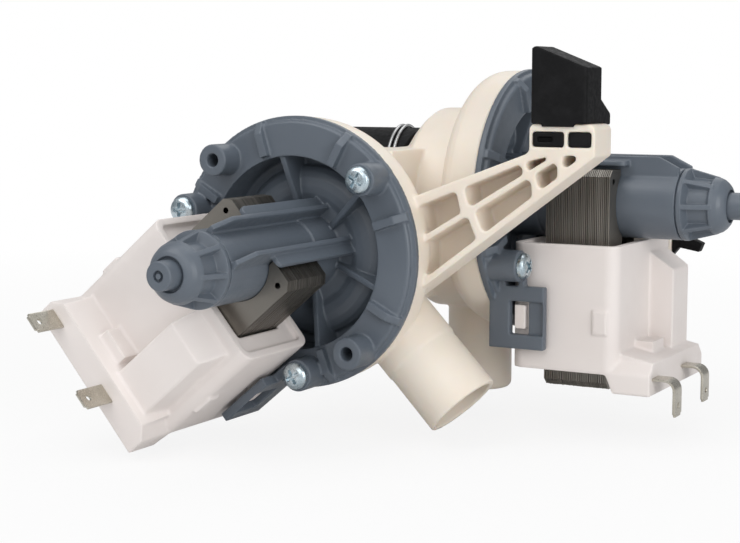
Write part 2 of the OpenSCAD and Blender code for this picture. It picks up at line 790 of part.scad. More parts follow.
// Rotor: magnet and hub turn on the shaft, and the hub's lug drives the dog after some free turn
module magnet_rotor() {
    color(ferrite) ring(hub_r + seat_gap, magnet_r, magnet_z, magnet_z + magnet_len);
}

module rotor_hub() {
    bore = shaft_r + run_gap;
    color(plastic_white) union() {
        rotate_extrude() polygon([[bore, magnet_z - 2], [lug_r, magnet_z - 2], [lug_r, magnet_z],
            [hub_r, magnet_z], [hub_r, magnet_z + magnet_len], [bore, magnet_z + magnet_len]]);
        sector(shaft_r + 0.6, lug_r - 0.3, lug_z, magnet_z - 1, lug_half);
    }
}

module drive_dog() {
    color(plastic_cream) union() {
        ring(shaft_r + seat_gap, 4.2, dog_z, lug_z - 0.3);
        rotate([0, 0, 180]) sector(shaft_r + seat_gap, lug_r, lug_z - 0.3 - 1.2, magnet_z - 2.3, dog_half);
    }
}

module shaft() {
    color(steel) translate([0, 0, shaft_front]) cylinder(r = shaft_r, h = shaft_back - shaft_front);
}

module impeller() {
    hub_end = disc_z - vane_h - 1;
    color(plastic_white) difference() {
        union() {
            translate([0, 0, disc_z - disc_t]) cylinder(r = impeller_r, h = disc_t);
            translate([0, 0, hub_end]) cylinder(r = 5, h = disc_z - hub_end);
            for (i = [0:vanes - 1]) rotate([0, 0, i * 360 / vanes])
                translate([3, -vane_t / 2, disc_z - disc_t - vane_h])
                    cube([impeller_r - 3.6, vane_t, vane_h + 0.5]);
        }
        translate([0, 0, shaft_front]) cylinder(r = shaft_r + seat_gap, h = 30);
    }
}

module bush(z0) {
    color(steel) ring(shaft_r + run_gap, bush_r, z0, z0 + bush_len);
}

// Pump housing
function rounded_edge(r, z, e) = [for (a = [0:15:90]) [r - e + e * cos(a), -z + e - e * sin(a)]];

module drum() {
    rotate_extrude() polygon(concat([[0, 0], [drum_r, 0]], rounded_edge(drum_r, drum_h, drum_round),
        [[0, -drum_h]]));
}

module drum_cuts(pilot_angles) {
    translate([0, 0, nose_z - nose_gap]) cylinder(r = bore_r, h = -nose_z + nose_gap + 1);
    translate([0, 0, -seal_h]) cylinder(r = counter_r, h = seal_h + 1);
    translate([0, 0, -chamber_end]) cylinder(r = chamber_r, h = chamber_end);
    translate([0, 0, -suction_z - 0.5]) cylinder(r = eye_r, h = suction_z);
    difference() {
        ring(relief_in, relief_out, -relief_h, 1);
        for (a = concat(screw_angles, open_angles))
            rotate([0, 0, a]) translate([boss_circle_r, 0, -relief_h - 1])
                cylinder(r = boss_r - 0.4, h = relief_h + 3);
    }
    for (a = pilot_angles) rotate([0, 0, a]) translate([boss_circle_r, 0, -screw_in - 0.6])
        cylinder(r = pilot_r, h = screw_in + 2);
}

module front_outlet(r, start, end) {
    translate(front_at + [0, outlet_depth, 0]) rotate([0, 90 + front_outlet_drop, 0])
        translate([-front_outlet_off, 0, start]) cylinder(r = r, h = end - start);
}

module rear_outlet_body() {
    e = mouth_round;
    r = rear_outlet_r;
    at_rear() translate([0, 0, -outlet_depth]) rotate([0, 90, 0]) rotate_extrude()
        polygon(concat([[0, 5], [r + grip_step, 5], [r + grip_step, rear_outlet_len - rear_grip],
                [r, rear_outlet_len - rear_grip]],
            [for (a = [0:15:90]) [r - e + e * cos(a), rear_outlet_len - e + e * sin(a)]],
            [[0, rear_outlet_len]]));
}

module sump_body() {
    translate(front_at) {
        translate([sump_left, sump_front, sump_bottom])
            cube([sump_right - sump_left, sump_back - sump_front, sump_top - sump_bottom]);
        translate([12.5, sump_back - 0.8, sump_bottom])
            cube([sump_right - 12.5, neck_back - sump_back + 0.8, sump_top - sump_bottom]);
        translate([sump_left + 4, pad_front, sump_bottom - 2.4]) cube([35, pad_back - pad_front, 3]);
    }
}

module sump_hollow() {
    translate(front_at) {
        translate([sump_left + wall, suction_z, sump_bottom + wall])
            cube([sump_right - sump_left - 2 * wall, sump_back - wall - suction_z,
                sump_top - sump_bottom - 2 * wall]);
        translate([15, suction_z, 0]) cube([7, neck_back - neck_wall - suction_z, sump_top - 6]);
    }
}

module quad_pocket(s, upper) {
    if (upper)
        polygon(rounded([[s[0], pocket_up(s[0])], [s[1], pocket_up(s[1])],
            [s[3], pocket_mid(s[3]) + mid_rib], [s[2], pocket_mid(s[2]) + mid_rib]], pocket_round));
    else
        polygon(rounded([[s[0], pocket_mid(s[0]) - mid_rib], [s[1], pocket_mid(s[1]) - mid_rib],
            [s[3], pocket_low(s[3])], [s[2], pocket_low(s[2])]], pocket_round));
}

function arm_outline() =
    let (top = [arm_top_x, arm_top_z], foot = [head_left, head_foot_z], left = [head_left, head_z],
        right = [head_x, head_z], end = [head_x, arm_end_z])
    concat([[arm_root_x - 9, arm_top_z - 5], top], corner(top, foot, left, head_round),
        corner(foot, left, right, head_round), corner(left, right, end, head_round),
        [end, [arm_low_x, arm_low_z], [arm_root_x - 9, arm_low_z - 9]]);

module arm() {
    back = arm_front + arm_depth;
    translate(front_at) difference() {
        along_y(arm_front, back)
            polygon(arm_outline());
        along_y(arm_front - 1, arm_front + pocket_depth) {
            for (s = upper_pockets) quad_pocket(s, true);
            for (s = lower_pockets) quad_pocket(s, false);
            polygon(rounded(corner_pocket, pocket_round));
        }
        along_y(arm_front - 1, back + 1) head_windows(0);
    }
}

module head_windows(shrink) {
    z1 = head_z - window_web - shrink;
    z0 = z1 - window_h + 2 * shrink;
    r = window_round - shrink;
    rounded_square([head_left + 0.9 + shrink, z0], [window_split - shrink, z1], r);
    rounded_square([window_split + window_wall + shrink, z0], [head_x - window_wall - shrink, z1], r);
}

module rear_arm() {
    at_rear() {
        translate([rear_arm_x, rear_arm_y - rear_foot[0], -rear_foot[1]])
            cube([rear_arm_h, rear_foot[0] + rear_arm_t, rear_foot[2]]);
        translate([rear_arm_x, rear_arm_y, -rear_foot[1]])
            cube([rear_arm_h, rear_arm_t, rear_foot[1] + rear_arm_len]);
    }
}

module pump_housing() {
    color(plastic_cream) difference() {
        union() {
            at_front() {
                drum();
                translate([0, 0, -suction_z]) cylinder(r = dome_r, h = suction_z - 1);
            }
            at_rear() {
                drum();
                rotate_extrude() polygon([[0, -1], [dome_r, -1], [dome_r, -dome_end + 0.4],
                    [dome_r - 1.5, -dome_end - 2.2], [dome_r - 4.1, -dome_end - 4.8],
                    [spigot_r + 3.3, -shoulder_z], [spigot_r, -shoulder_z], [spigot_r, -spigot_end],
                    [0, -spigot_end]]);
                translate([volute_shift, -volute_shift, -volute_end])
                    cylinder(r = volute_r, h = volute_end - drum_h + 1.3);
            }
            sump_body();
            arm();
            rear_arm();
            front_outlet(front_outlet_r, 10, front_outlet_len);
            front_outlet(front_outlet_r + grip_step, 10, front_outlet_len - front_grip);
            rear_outlet_body();
        }
        at_front() drum_cuts(screw_angles);
        at_rear() {
            drum_cuts(screw_angles);
            rotate_extrude() polygon([[0, -suction_z], [dome_r - 1 - wall, -suction_z],
                [dome_r - 1 - wall, -suction_z - 0.8], [spigot_r - wall, -shoulder_z + 0.5],
                [spigot_r - wall, -spigot_end - 1], [0, -spigot_end - 1]]);
            translate([0, 0, -outlet_depth]) rotate([0, 90, 0])
                translate([0, 0, chamber_r - 4])
                    cylinder(r = rear_outlet_r - rear_outlet_wall, h = rear_outlet_len);
        }
        front_outlet(front_outlet_r - front_outlet_wall, chamber_r - 4, front_outlet_len + 1);
        sump_hollow();
    }
}

// Rubber block on the arm's head, with the plate and tongues that hold it there
module mount_rubber() {
    x0 = head_left + 0.7;
    y0 = arm_front - lip_t - seat_gap;
    y1 = y0 + block_d;
    back = arm_front + arm_depth + tongue_gap;
    z0 = head_z + 0.1;
    color(rubber_black) translate(front_at) difference() {
        union() {
            intersection() {
                along_y(y0, y1)
                    polygon([[x0, z0], [x0 + block_w, z0], [x0 + block_w, z0 + block_h - block_fall],
                        [x0 + 1.5, z0 + block_h], [x0, z0 + block_h - 0.6]]);
                linear_extrude(z0 + block_h) rounded_square([x0, y0], [x0 + block_w, y1], block_round);
            }
            translate([x0, back, z0 - 8.5]) cube([block_w, 3, 8.6]);
            translate([x0, 0, 0]) rotate([90, 0, 90]) linear_extrude(block_w)
                polygon([[back, z0 - 0.5], [back + 5.4, z0 - 0.5], [back + 5.4, z0 + 2.6], [y1, z0 + 6.4],
                    [y1 - block_round, z0 + 6.4], [y1 - block_round, z0], [back, z0]]);
            along_y(arm_front + 0.3, back + 1) head_windows(tongue_gap);
            translate([x0 + 3.4, y0, z0 - 0.9]) cube([9.6, lip_t, 1.9]);
        }
        translate([head_left + 2.4, arm_front - 1, head_z - window_web - window_h + 1.5])
            cube([tongue_slot[0], tongue_slot[2] + 1.3, tongue_slot[1]]);
    }
}

module rear_mount_rubber() {
    foot = rear_arm_len + 0.1;
    tip = foot + finger_len;
    color(rubber_black) at_rear() translate([rear_arm_x, 0, 0])
        along_y(rear_arm_y + 0.2, rear_arm_y + rear_arm_t - 0.2)
            polygon([[0.6, foot], [-0.6, foot + 2.4 * finger_neck], [1.5, tip], [4.4, tip - 1.2],
                [3.2, foot + finger_neck], [rear_arm_h, foot]]);
}

module inlet_hose() {
    e = 1.2;
    color(rubber_black) at_rear() translate([0, 0, -hose_start]) rotate_extrude()
        polygon([[spigot_r + hose_gap, 0], [hose_r - e, 0], [hose_r - 0.35, -0.35], [hose_r, -e],
            [hose_r, -hose_len + e], [hose_r - e, -hose_len], [hose_bore_r, -hose_len],
            [hose_bore_r, -hose_seat], [spigot_r + hose_gap, -hose_seat]]);
}

// Spring clamp: one wire, two turns and an ear at each end
clamp_turn_r = hose_r + wire_r + 0.1;
clamp_span = 2 * 360 + 30;
clamp_steps = 100;
clamp_start = 100;
clamp_turns = [for (i = [0:clamp_steps]) let (a = clamp_start + i * clamp_span / clamp_steps)
    [clamp_turn_r * cos(a), clamp_turn_r * sin(a),
        wire_pitch * (i / clamp_steps - 0.5) * clamp_span / 360 - clamp_turn_r * sin(a) * tan(clamp_lean)]];
function ear(p, up) = let (u = [p[0], p[1], 0] / clamp_turn_r)
    [for (k = up ? [0.35, 0.7, 1] : [1, 0.7, 0.35]) p + u * ear_len * k];
clamp_path = concat(ear(clamp_turns[0], false), clamp_turns, ear(clamp_turns[clamp_steps], true));
half_turn = floor(clamp_steps * 180 / clamp_span);
clamp_gap = min([for (i = [0:clamp_steps - half_turn]) for (j = [i + half_turn:clamp_steps])
    norm(clamp_turns[i] - clamp_turns[j])]) - 2 * wire_r;
echo(least_gap_of_the_clamp_wire = clamp_gap);

function heading(path, i) = unit(path[min(i + 1, len(path) - 1)] - path[max(i - 1, 0)]);

module wire(path, r, sides) {
    n = len(path);
    points = [for (i = [0:n - 1]) let (t = heading(path, i), b = unit(cross(t, [0, 0, 1])), c = cross(b, t))
        for (k = [0:sides - 1]) path[i] + r * (cos(k * 360 / sides) * b + sin(k * 360 / sides) * c)];
    walls = [for (i = [0:n - 2]) for (k = [0:sides - 1]) let (m = (k + 1) % sides,
            a = i * sides + k, b = i * sides + m)
        each [[a, b, b + sides], [a, b + sides, a + sides]]];
    caps = [for (k = [1:sides - 2]) each [[0, k + 1, k],
        [(n - 1) * sides, (n - 1) * sides + k, (n - 1) * sides + k + 1]]];
    polyhedron(points, concat(walls, caps));
}

module hose_clamp() {
    color(steel) at_rear() translate([0, 0, -hose_start - clamp_in]) wire(clamp_path, wire_r, 6);
}

pump_housing();
inlet_hose();
hose_clamp();
mount_rubber();
rear_mount_rubber();
at_front() motor_cover();  // front_motor_cover
at_front() tail_cap();  // front_tail_cap
at_front() stator_core();  // front_stator_core
at_front() coil_housing();  // front_coil_housing
at_front() coil_bobbins();  // front_coil_bobbins
at_front() coil_windings();  // front_coil_windings
at_front() terminals(false);  // front_terminals
at_front() cover_screws();  // front_cover_screws
at_front() cover_seal();  // front_cover_seal
at_front() magnet_rotor();  // front_magnet_rotor
at_front() rotor_hub();  // front_rotor_hub
at_front() drive_dog();  // front_drive_dog
at_front() shaft();  // front_shaft
at_front() impeller();  // front_impeller
at_front() bush(nose_bush_z);  // front_nose_bush
at_front() bush(tail_bush_z);  // front_tail_bush
at_rear() motor_cover();  // rear_motor_cover
at_rear() tail_cap();  // rear_tail_cap
at_rear() stator_core();  // rear_stator_core
at_rear() coil_housing();  // rear_coil_housing
at_rear() coil_bobbins();  // rear_coil_bobbins
at_rear() coil_windings();  // rear_coil_windings
at_rear() terminals(true);  // rear_terminals
at_rear() cover_screws();  // rear_cover_screws
at_rear() cover_seal();  // rear_cover_seal
at_rear() magnet_rotor();  // rear_magnet_rotor
at_rear() rotor_hub();  // rear_rotor_hub
at_rear() drive_dog();  // rear_drive_dog
at_rear() shaft();  // rear_shaft
at_rear() impeller();  // rear_impeller
at_rear() bush(nose_bush_z);  // rear_nose_bush
at_rear() bush(tail_bush_z);  // rear_tail_bush
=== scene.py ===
"""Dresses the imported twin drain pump: moulded skins, stacked cores, hose, wire clamp and finishes."""

import json
import logging
import math
import random
from dataclasses import dataclass, field
from enum import Enum

import bmesh
import bpy
from mathutils import Matrix, Vector

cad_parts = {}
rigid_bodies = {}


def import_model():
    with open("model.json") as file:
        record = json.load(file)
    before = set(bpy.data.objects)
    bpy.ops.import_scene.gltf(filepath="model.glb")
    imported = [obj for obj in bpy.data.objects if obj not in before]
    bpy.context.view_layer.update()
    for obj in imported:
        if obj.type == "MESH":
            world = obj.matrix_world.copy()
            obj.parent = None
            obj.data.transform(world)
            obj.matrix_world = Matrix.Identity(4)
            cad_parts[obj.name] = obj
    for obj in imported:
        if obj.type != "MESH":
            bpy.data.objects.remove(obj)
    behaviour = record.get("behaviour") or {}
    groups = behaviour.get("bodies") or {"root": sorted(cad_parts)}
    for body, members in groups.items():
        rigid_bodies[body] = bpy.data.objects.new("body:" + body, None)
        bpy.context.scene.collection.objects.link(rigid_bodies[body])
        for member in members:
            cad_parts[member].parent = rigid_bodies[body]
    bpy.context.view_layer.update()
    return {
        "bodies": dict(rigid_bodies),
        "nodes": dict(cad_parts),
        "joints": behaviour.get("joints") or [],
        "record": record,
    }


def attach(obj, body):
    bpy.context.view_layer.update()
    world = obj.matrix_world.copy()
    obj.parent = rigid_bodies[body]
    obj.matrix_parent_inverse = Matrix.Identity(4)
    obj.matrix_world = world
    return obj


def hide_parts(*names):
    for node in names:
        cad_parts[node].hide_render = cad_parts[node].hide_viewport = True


log = logging.getLogger("drain_pump")

Point = tuple[float, float, float]
Outline = list[tuple[float, float]]
Profile = tuple[tuple[float, float], ...]

MM = 0.001

# Places of the two pumps on the housing, in mm, and the front coil's lean in degrees
BOSS_TOP = 11.8
FRONT_LEAN = 50.0
REAR_RIGHT = 48.0
REAR_BACK = 61.5
REAR_UP = 14.0

# Vertices nearer than this, in mm, become one in the copy of a CAD node
WELD = 0.002

# Edges sharper than this, in degrees, stay sharp in the shading
CREASE = 40.0


class Station(Enum):
    """The two pumps, by where they stand on the housing."""

    FRONT = "front"
    REAR = "rear"

    @property
    def matrix(self) -> Matrix:
        """Places a motor drawn along its own shaft: z from flange to tail, x to the coil, in mm."""
        if self is Station.FRONT:
            lean = Matrix.Rotation(math.radians(90 + FRONT_LEAN), 4, "Y")
            turn = lean @ Matrix.Rotation(math.radians(90), 4, "X")
            return Matrix.Translation((0, BOSS_TOP, 0)) @ turn
        place = Matrix.Translation((REAR_RIGHT, BOSS_TOP + REAR_BACK, REAR_UP))
        return place @ Matrix.Rotation(math.radians(90), 4, "Y")

    @property
    def prefix(self) -> str:
        """What the names of this motor's nodes and pieces begin with."""
        return f"{self.value}_"


class NodeTree:
    """A material's node tree with short calls for the few nodes that the finishes use."""

    def __init__(self, name: str) -> None:
        """Starts a material with a Principled shader.

        Args:
            name: The material's name.
        """
        self.material = bpy.data.materials.new(name)
        self.material.use_nodes = True
        self.nodes = self.material.node_tree.nodes
        self.links = self.material.node_tree.links
        self.shader = self.nodes["Principled BSDF"]
        self.place = self.nodes.new("ShaderNodeTexCoord")

    def set(self, socket: str, value: float | Point) -> None:
        """Sets one of the shader's constants.

        Args:
            socket: The name of the shader's input.
            value: The constant.
        """
        self.shader.inputs[socket].default_value = value

    def noise(self, scale: float, detail: float = 3.0,
              stretch: Point = (1, 1, 1)) -> bpy.types.NodeSocket:
        """Adds a noise texture in the row frame's metres.

        Args:
            scale: Features per metre.
            detail: Octaves of the noise.
            stretch: Scale factor along each axis.

        Returns:
            The noise's factor socket.
        """
        mapping = self.nodes.new("ShaderNodeMapping")
        mapping.inputs["Scale"].default_value = stretch
        self.links.new(self.place.outputs["Object"], mapping.inputs["Vector"])
        noise = self.nodes.new("ShaderNodeTexNoise")
        noise.inputs["Scale"].default_value = scale
        noise.inputs["Detail"].default_value = detail
        self.links.new(mapping.outputs["Vector"], noise.inputs["Vector"])
        return noise.outputs["Fac"]

    def spread(self, source: bpy.types.NodeSocket, low: float, high: float,
               start: float = 0.3, stop: float = 0.7) -> bpy.types.NodeSocket:
        """Maps a texture's middle range to new limits.

        Args:
            source: The texture's socket.
            low: Value at start.
            high: Value at stop.
            start: Texture value that gives low.
            stop: Texture value that gives high.

        Returns:
            The mapped socket.
        """
        node = self.nodes.new("ShaderNodeMapRange")
        limits = (("From Min", start), ("From Max", stop), ("To Min", low), ("To Max", high))
        for key, value in limits:
            node.inputs[key].default_value = value
        self.links.new(source, node.inputs["Value"])
        return node.outputs["Result"]

    def tint(self, factor: bpy.types.NodeSocket, one: Point, two: Point) -> None:
        """Blends two base colours by a texture.

        Args:
            factor: The texture's socket.
            one: Colour where the texture is 0.
            two: Colour where the texture is 1.
        """
        mix = self.nodes.new("ShaderNodeMix")
        mix.data_type = "RGBA"
        mix.inputs["A"].default_value = (*one, 1)
        mix.inputs["B"].default_value = (*two, 1)
        self.links.new(factor, mix.inputs["Factor"])
        self.links.new(mix.outputs["Result"], self.shader.inputs["Base Color"])

    def bump(self, height: bpy.types.NodeSocket, distance: float) -> None:
        """Chains one more bump onto the shader's normal.

        Args:
            height: The texture to read as height.
            distance: Height in metres for a full step of the texture.
        """
        node = self.nodes.new("ShaderNodeBump")
        node.inputs["Distance"].default_value = distance
        node.inputs["Strength"].default_value = 1.0
        self.links.new(height, node.inputs["Height"])
        below = self.shader.inputs["Normal"]
        if below.is_linked:
            self.links.new(below.links[0].from_socket, node.inputs["Normal"])
        self.links.new(node.outputs["Normal"], below)

    def rough(self, source: bpy.types.NodeSocket, low: float, high: float) -> None:
        """Lets the roughness follow a texture.

        Args:
            source: The texture's socket.
            low: Roughness where the texture is low.
            high: Roughness where it is high.
        """
        self.links.new(self.spread(source, low, high), self.shader.inputs["Roughness"])


@dataclass(frozen=True)
class Plastic:
    """Moulded plastic: an eroded grain, slow waves from shrinkage and a faint change of tone.

    Scales count features per metre; heights and depths are in metres.
    """

    name: str
    colour: Point
    shade: Point
    gloss: tuple[float, float] = (0.38, 0.5)
    specular: float = 0.4
    glow: float = 0.0
    glow_reach: Point = (1.0, 0.45, 0.2)
    glow_depth: float = 0.004
    tone_scale: float = 45
    gloss_scale: float = 420
    wave_scale: float = 55
    wave_height: float = 0.00008
    grain_scale: float = 5200
    grain_height: float = 0.00002

    def material(self) -> bpy.types.Material:
        """Builds the finish."""
        tree = NodeTree(self.name)
        tree.tint(tree.spread(tree.noise(self.tone_scale), 0, 1), self.colour, self.shade)
        tree.set("Subsurface Weight", self.glow)
        tree.set("Subsurface Radius", self.glow_reach)
        tree.set("Subsurface Scale", self.glow_depth)
        tree.rough(tree.noise(self.gloss_scale, 4), *self.gloss)
        tree.bump(tree.noise(self.wave_scale, 2), self.wave_height)
        tree.bump(tree.noise(self.grain_scale, 2), self.grain_height)
        tree.set("Specular IOR Level", self.specular)
        return tree.material


@dataclass(frozen=True)
class Rubber:
    """Black rubber: almost matt, with a fine skin and a little dust.

    Scales count features per metre; the skin's height is in metres.
    """

    name: str
    colour: Point = (0.005, 0.005, 0.0055)
    dust: Point = (0.011, 0.011, 0.012)
    dust_scale: float = 160
    dust_range: tuple[float, float] = (0.45, 0.75)
    gloss: tuple[float, float] = (0.5, 0.72)
    gloss_scale: float = 700
    skin_scale: float = 2600
    skin_height: float = 0.00003
    specular: float = 0.16

    def material(self) -> bpy.types.Material:
        """Builds the finish."""
        tree = NodeTree(self.name)
        dust = tree.spread(tree.noise(self.dust_scale, 5), 0, 1, *self.dust_range)
        tree.tint(dust, self.colour, self.dust)
        tree.rough(tree.noise(self.gloss_scale, 3), *self.gloss)
        tree.bump(tree.noise(self.skin_scale, 3), self.skin_height)
        tree.set("Specular IOR Level", self.specular)
        return tree.material


@dataclass(frozen=True)
class Metal:
    """Bare or plated metal with fine streaks along one axis.

    Scales count features per metre; heights are in metres.
    """

    name: str
    colour: Point
    shade: Point
    gloss: tuple[float, float] = (0.22, 0.4)
    stretch: Point = (1, 1, 1)
    patch_scale: float = 260
    streak_scale: float = 2400
    streak_height: float = 0.000006
    lump_scale: float = 900
    lump_height: float = 0.0

    def material(self) -> bpy.types.Material:
        """Builds the finish."""
        tree = NodeTree(self.name)
        tree.set("Metallic", 1.0)
        patches = tree.spread(tree.noise(self.patch_scale, 4, self.stretch), 0, 1)
        tree.tint(patches, self.colour, self.shade)
        streaks = tree.noise(self.streak_scale, 3, self.stretch)
        tree.rough(streaks, *self.gloss)
        if self.lump_height:
            tree.bump(tree.noise(self.lump_scale, 2), self.lump_height)
        tree.bump(streaks, self.streak_height)
        return tree.material


@dataclass(frozen=True)
class Lamp:
    """A square soft lamp: its place and aim in mm, its side in mm and its power in watts."""

    name: str
    place: Point
    aim: Point
    side: float
    power: float

    def hang(self) -> None:
        """Adds the lamp to the scene."""
        data = bpy.data.lights.new(self.name, "AREA")
        data.size, data.energy = self.side * MM, self.power
        lamp = bpy.data.objects.new(self.name, data)
        lamp.location = Vector(self.place) * MM
        sight = Vector(self.aim) - Vector(self.place)
        lamp.rotation_euler = sight.to_track_quat("-Z", "Y").to_euler()
        bpy.context.scene.collection.objects.link(lamp)


@dataclass(frozen=True)
class Stage:
    """Camera at the photograph's angle, pale floor and soft lamps.

    The eye and the floor's height are in mm; the floor's side and the near and far rim of the ring
    in which it turns white for the camera are in metres.
    """

    eye: Point = (253.3, -397.8, 51.0)
    forward: Point = (-0.4841, 0.8671, -0.1175)
    lens: float = 78.0
    sensor: float = 36.0
    sight: tuple[float, float] = (0.01, 20.0)
    floor_z: float = -57.0
    floor_side: float = 8.0
    floor_white: float = 0.8
    floor_roughness: float = 0.9
    whitening: tuple[float, float] = (0.15, 0.6)
    white_share: tuple[float, float] = (0.86, 1.0)
    room_colour: Point = (0.97, 0.98, 1.0)
    room_light: float = 0.36
    lamps: tuple[Lamp, ...] = (
        Lamp("key", (-350, -500, 800), (20, 0, 0), 600, 3.2),
        Lamp("fill", (800, -350, 180), (20, 20, -20), 500, 2.9),
        Lamp("top", (50, 60, 950), (40, 40, 0), 700, 2.2),
        Lamp("back", (-100, 800, 700), (30, 60, 0), 600, 1.3),
        Lamp("front", (200, -700, 450), (20, 0, 0), 600, 1.8),
    )

    def camera(self) -> None:
        """Sets the camera."""
        data = bpy.data.cameras.new("camera")
        data.lens, data.sensor_width = self.lens, self.sensor
        data.clip_start, data.clip_end = self.sight
        camera = bpy.data.objects.new("camera", data)
        camera.location = Vector(self.eye) * MM
        camera.rotation_euler = Vector(self.forward).to_track_quat("-Z", "Y").to_euler()
        bpy.context.scene.collection.objects.link(camera)
        bpy.context.scene.camera = camera

    def floor(self) -> None:
        """Lays a white floor that keeps the shadow."""
        bpy.ops.mesh.primitive_plane_add(size=self.floor_side, location=(0, 0, self.floor_z * MM))
        floor = bpy.context.object
        floor.name = "floor"
        material = bpy.data.materials.new("floor_white")
        material.use_nodes = True
        nodes, links = material.node_tree.nodes, material.node_tree.links
        diffuse = nodes["Principled BSDF"]
        diffuse.inputs["Base Color"].default_value = (*[self.floor_white] * 3, 1)
        diffuse.inputs["Roughness"].default_value = self.floor_roughness
        glow = nodes.new("ShaderNodeEmission")
        glow.inputs["Color"].default_value = (1, 1, 1, 1)
        path = nodes.new("ShaderNodeLightPath")
        place = nodes.new("ShaderNodeTexCoord")
        reach = nodes.new("ShaderNodeVectorMath")
        reach.operation = "LENGTH"
        links.new(place.outputs["Object"], reach.inputs[0])
        growth = nodes.new("ShaderNodeMapRange")
        for key, limits in (("From", self.whitening), ("To", self.white_share)):
            for end, value in zip(("Min", "Max"), limits):
                growth.inputs[f"{key} {end}"].default_value = value
        links.new(reach.outputs["Value"], growth.inputs["Value"])
        share = nodes.new("ShaderNodeMath")
        share.operation = "MULTIPLY"
        links.new(growth.outputs["Result"], share.inputs[1])
        links.new(path.outputs["Is Camera Ray"], share.inputs[0])
        mix = nodes.new("ShaderNodeMixShader")
        links.new(share.outputs["Value"], mix.inputs["Fac"])
        links.new(diffuse.outputs["BSDF"], mix.inputs[1])
        links.new(glow.outputs["Emission"], mix.inputs[2])
        links.new(mix.outputs["Shader"], nodes["Material Output"].inputs["Surface"])
        floor.data.materials.append(material)

    def world(self) -> None:
        """Lights the room softly and shows white to the camera alone."""
        world = bpy.data.worlds.new("studio")
        world.use_nodes = True
        bpy.context.scene.world = world
        nodes, links = world.node_tree.nodes, world.node_tree.links
        room = nodes["Background"]
        room.inputs["Color"].default_value = (*self.room_colour, 1)
        room.inputs["Strength"].default_value = self.room_light
        white = nodes.new("ShaderNodeBackground")
        white.inputs["Color"].default_value = (1, 1, 1, 1)
        white.inputs["Strength"].default_value = 1.0
        path = nodes.new("ShaderNodeLightPath")
        mix = nodes.new("ShaderNodeMixShader")
        links.new(path.outputs["Is Camera Ray"], mix.inputs["Fac"])
        links.new(room.outputs["Background"], mix.inputs[1])
        links.new(white.outputs["Background"], mix.inputs[2])
        links.new(mix.outputs["Shader"], nodes["World Output"].inputs["Surface"])

    def build(self) -> None:
        """Sets up everything that isn't part of the pump."""
        self.camera()
        self.floor()
        self.world()
        for lamp in self.lamps:
            lamp.hang()
        bpy.context.scene.view_settings.view_transform = "Standard"


class Finishes:
    """The pump's finishes, one material for each slot of the record."""

    def __init__(self) -> None:
        """Builds all finishes."""
        finishes = (
            Plastic("cream_plastic", (0.82, 0.745, 0.65), (0.785, 0.70, 0.60), (0.36, 0.48), glow=0.15),
            Plastic("cover_plastic", (0.112, 0.133, 0.160), (0.098, 0.117, 0.142), (0.34, 0.46), 0.5),
            Plastic("housing_plastic", (0.80, 0.745, 0.715), (0.76, 0.70, 0.67), (0.42, 0.55)),
            Plastic("bobbin_plastic", (0.78, 0.78, 0.75), (0.73, 0.73, 0.70)),
            Plastic("rotor_plastic", (0.68, 0.66, 0.60), (0.62, 0.60, 0.54)),
            Rubber("black_rubber"),
            Metal("laminations", (0.31, 0.29, 0.26), (0.185, 0.173, 0.155), (0.34, 0.5),
                  (0.02, 0.02, 1.0), patch_scale=1100, streak_scale=1683),
            Metal("copper_wire", (0.72, 0.34, 0.13), (0.55, 0.22, 0.07), (0.2, 0.3)),
            Metal("tinned_brass", (0.60, 0.57, 0.50), (0.50, 0.47, 0.40), (0.24, 0.36)),
            Metal("zinc_steel", (0.68, 0.76, 0.80), (0.40, 0.49, 0.54), lump_height=0.00007),
            Metal("spring_steel", (0.62, 0.62, 0.62), (0.48, 0.48, 0.48), (0.2, 0.3)),
            Metal("shaft_steel", (0.66, 0.67, 0.68), (0.56, 0.57, 0.58), (0.16, 0.26)),
            Metal("ferrite", (0.10, 0.10, 0.105), (0.07, 0.07, 0.072), (0.45, 0.6)),
        )
        self.by_slot = {finish.name: finish.material() for finish in finishes}

    def dress_nodes(self, frame: dict) -> None:
        """Gives each CAD node the finish of its slot in the record.
        """
        slots = {part["node"]: part["material_slot"] for part in frame["record"]["subparts"]}
        for name, node in frame["nodes"].items():
            for place in node.material_slots:
                place.material = self.by_slot[slots[name]]


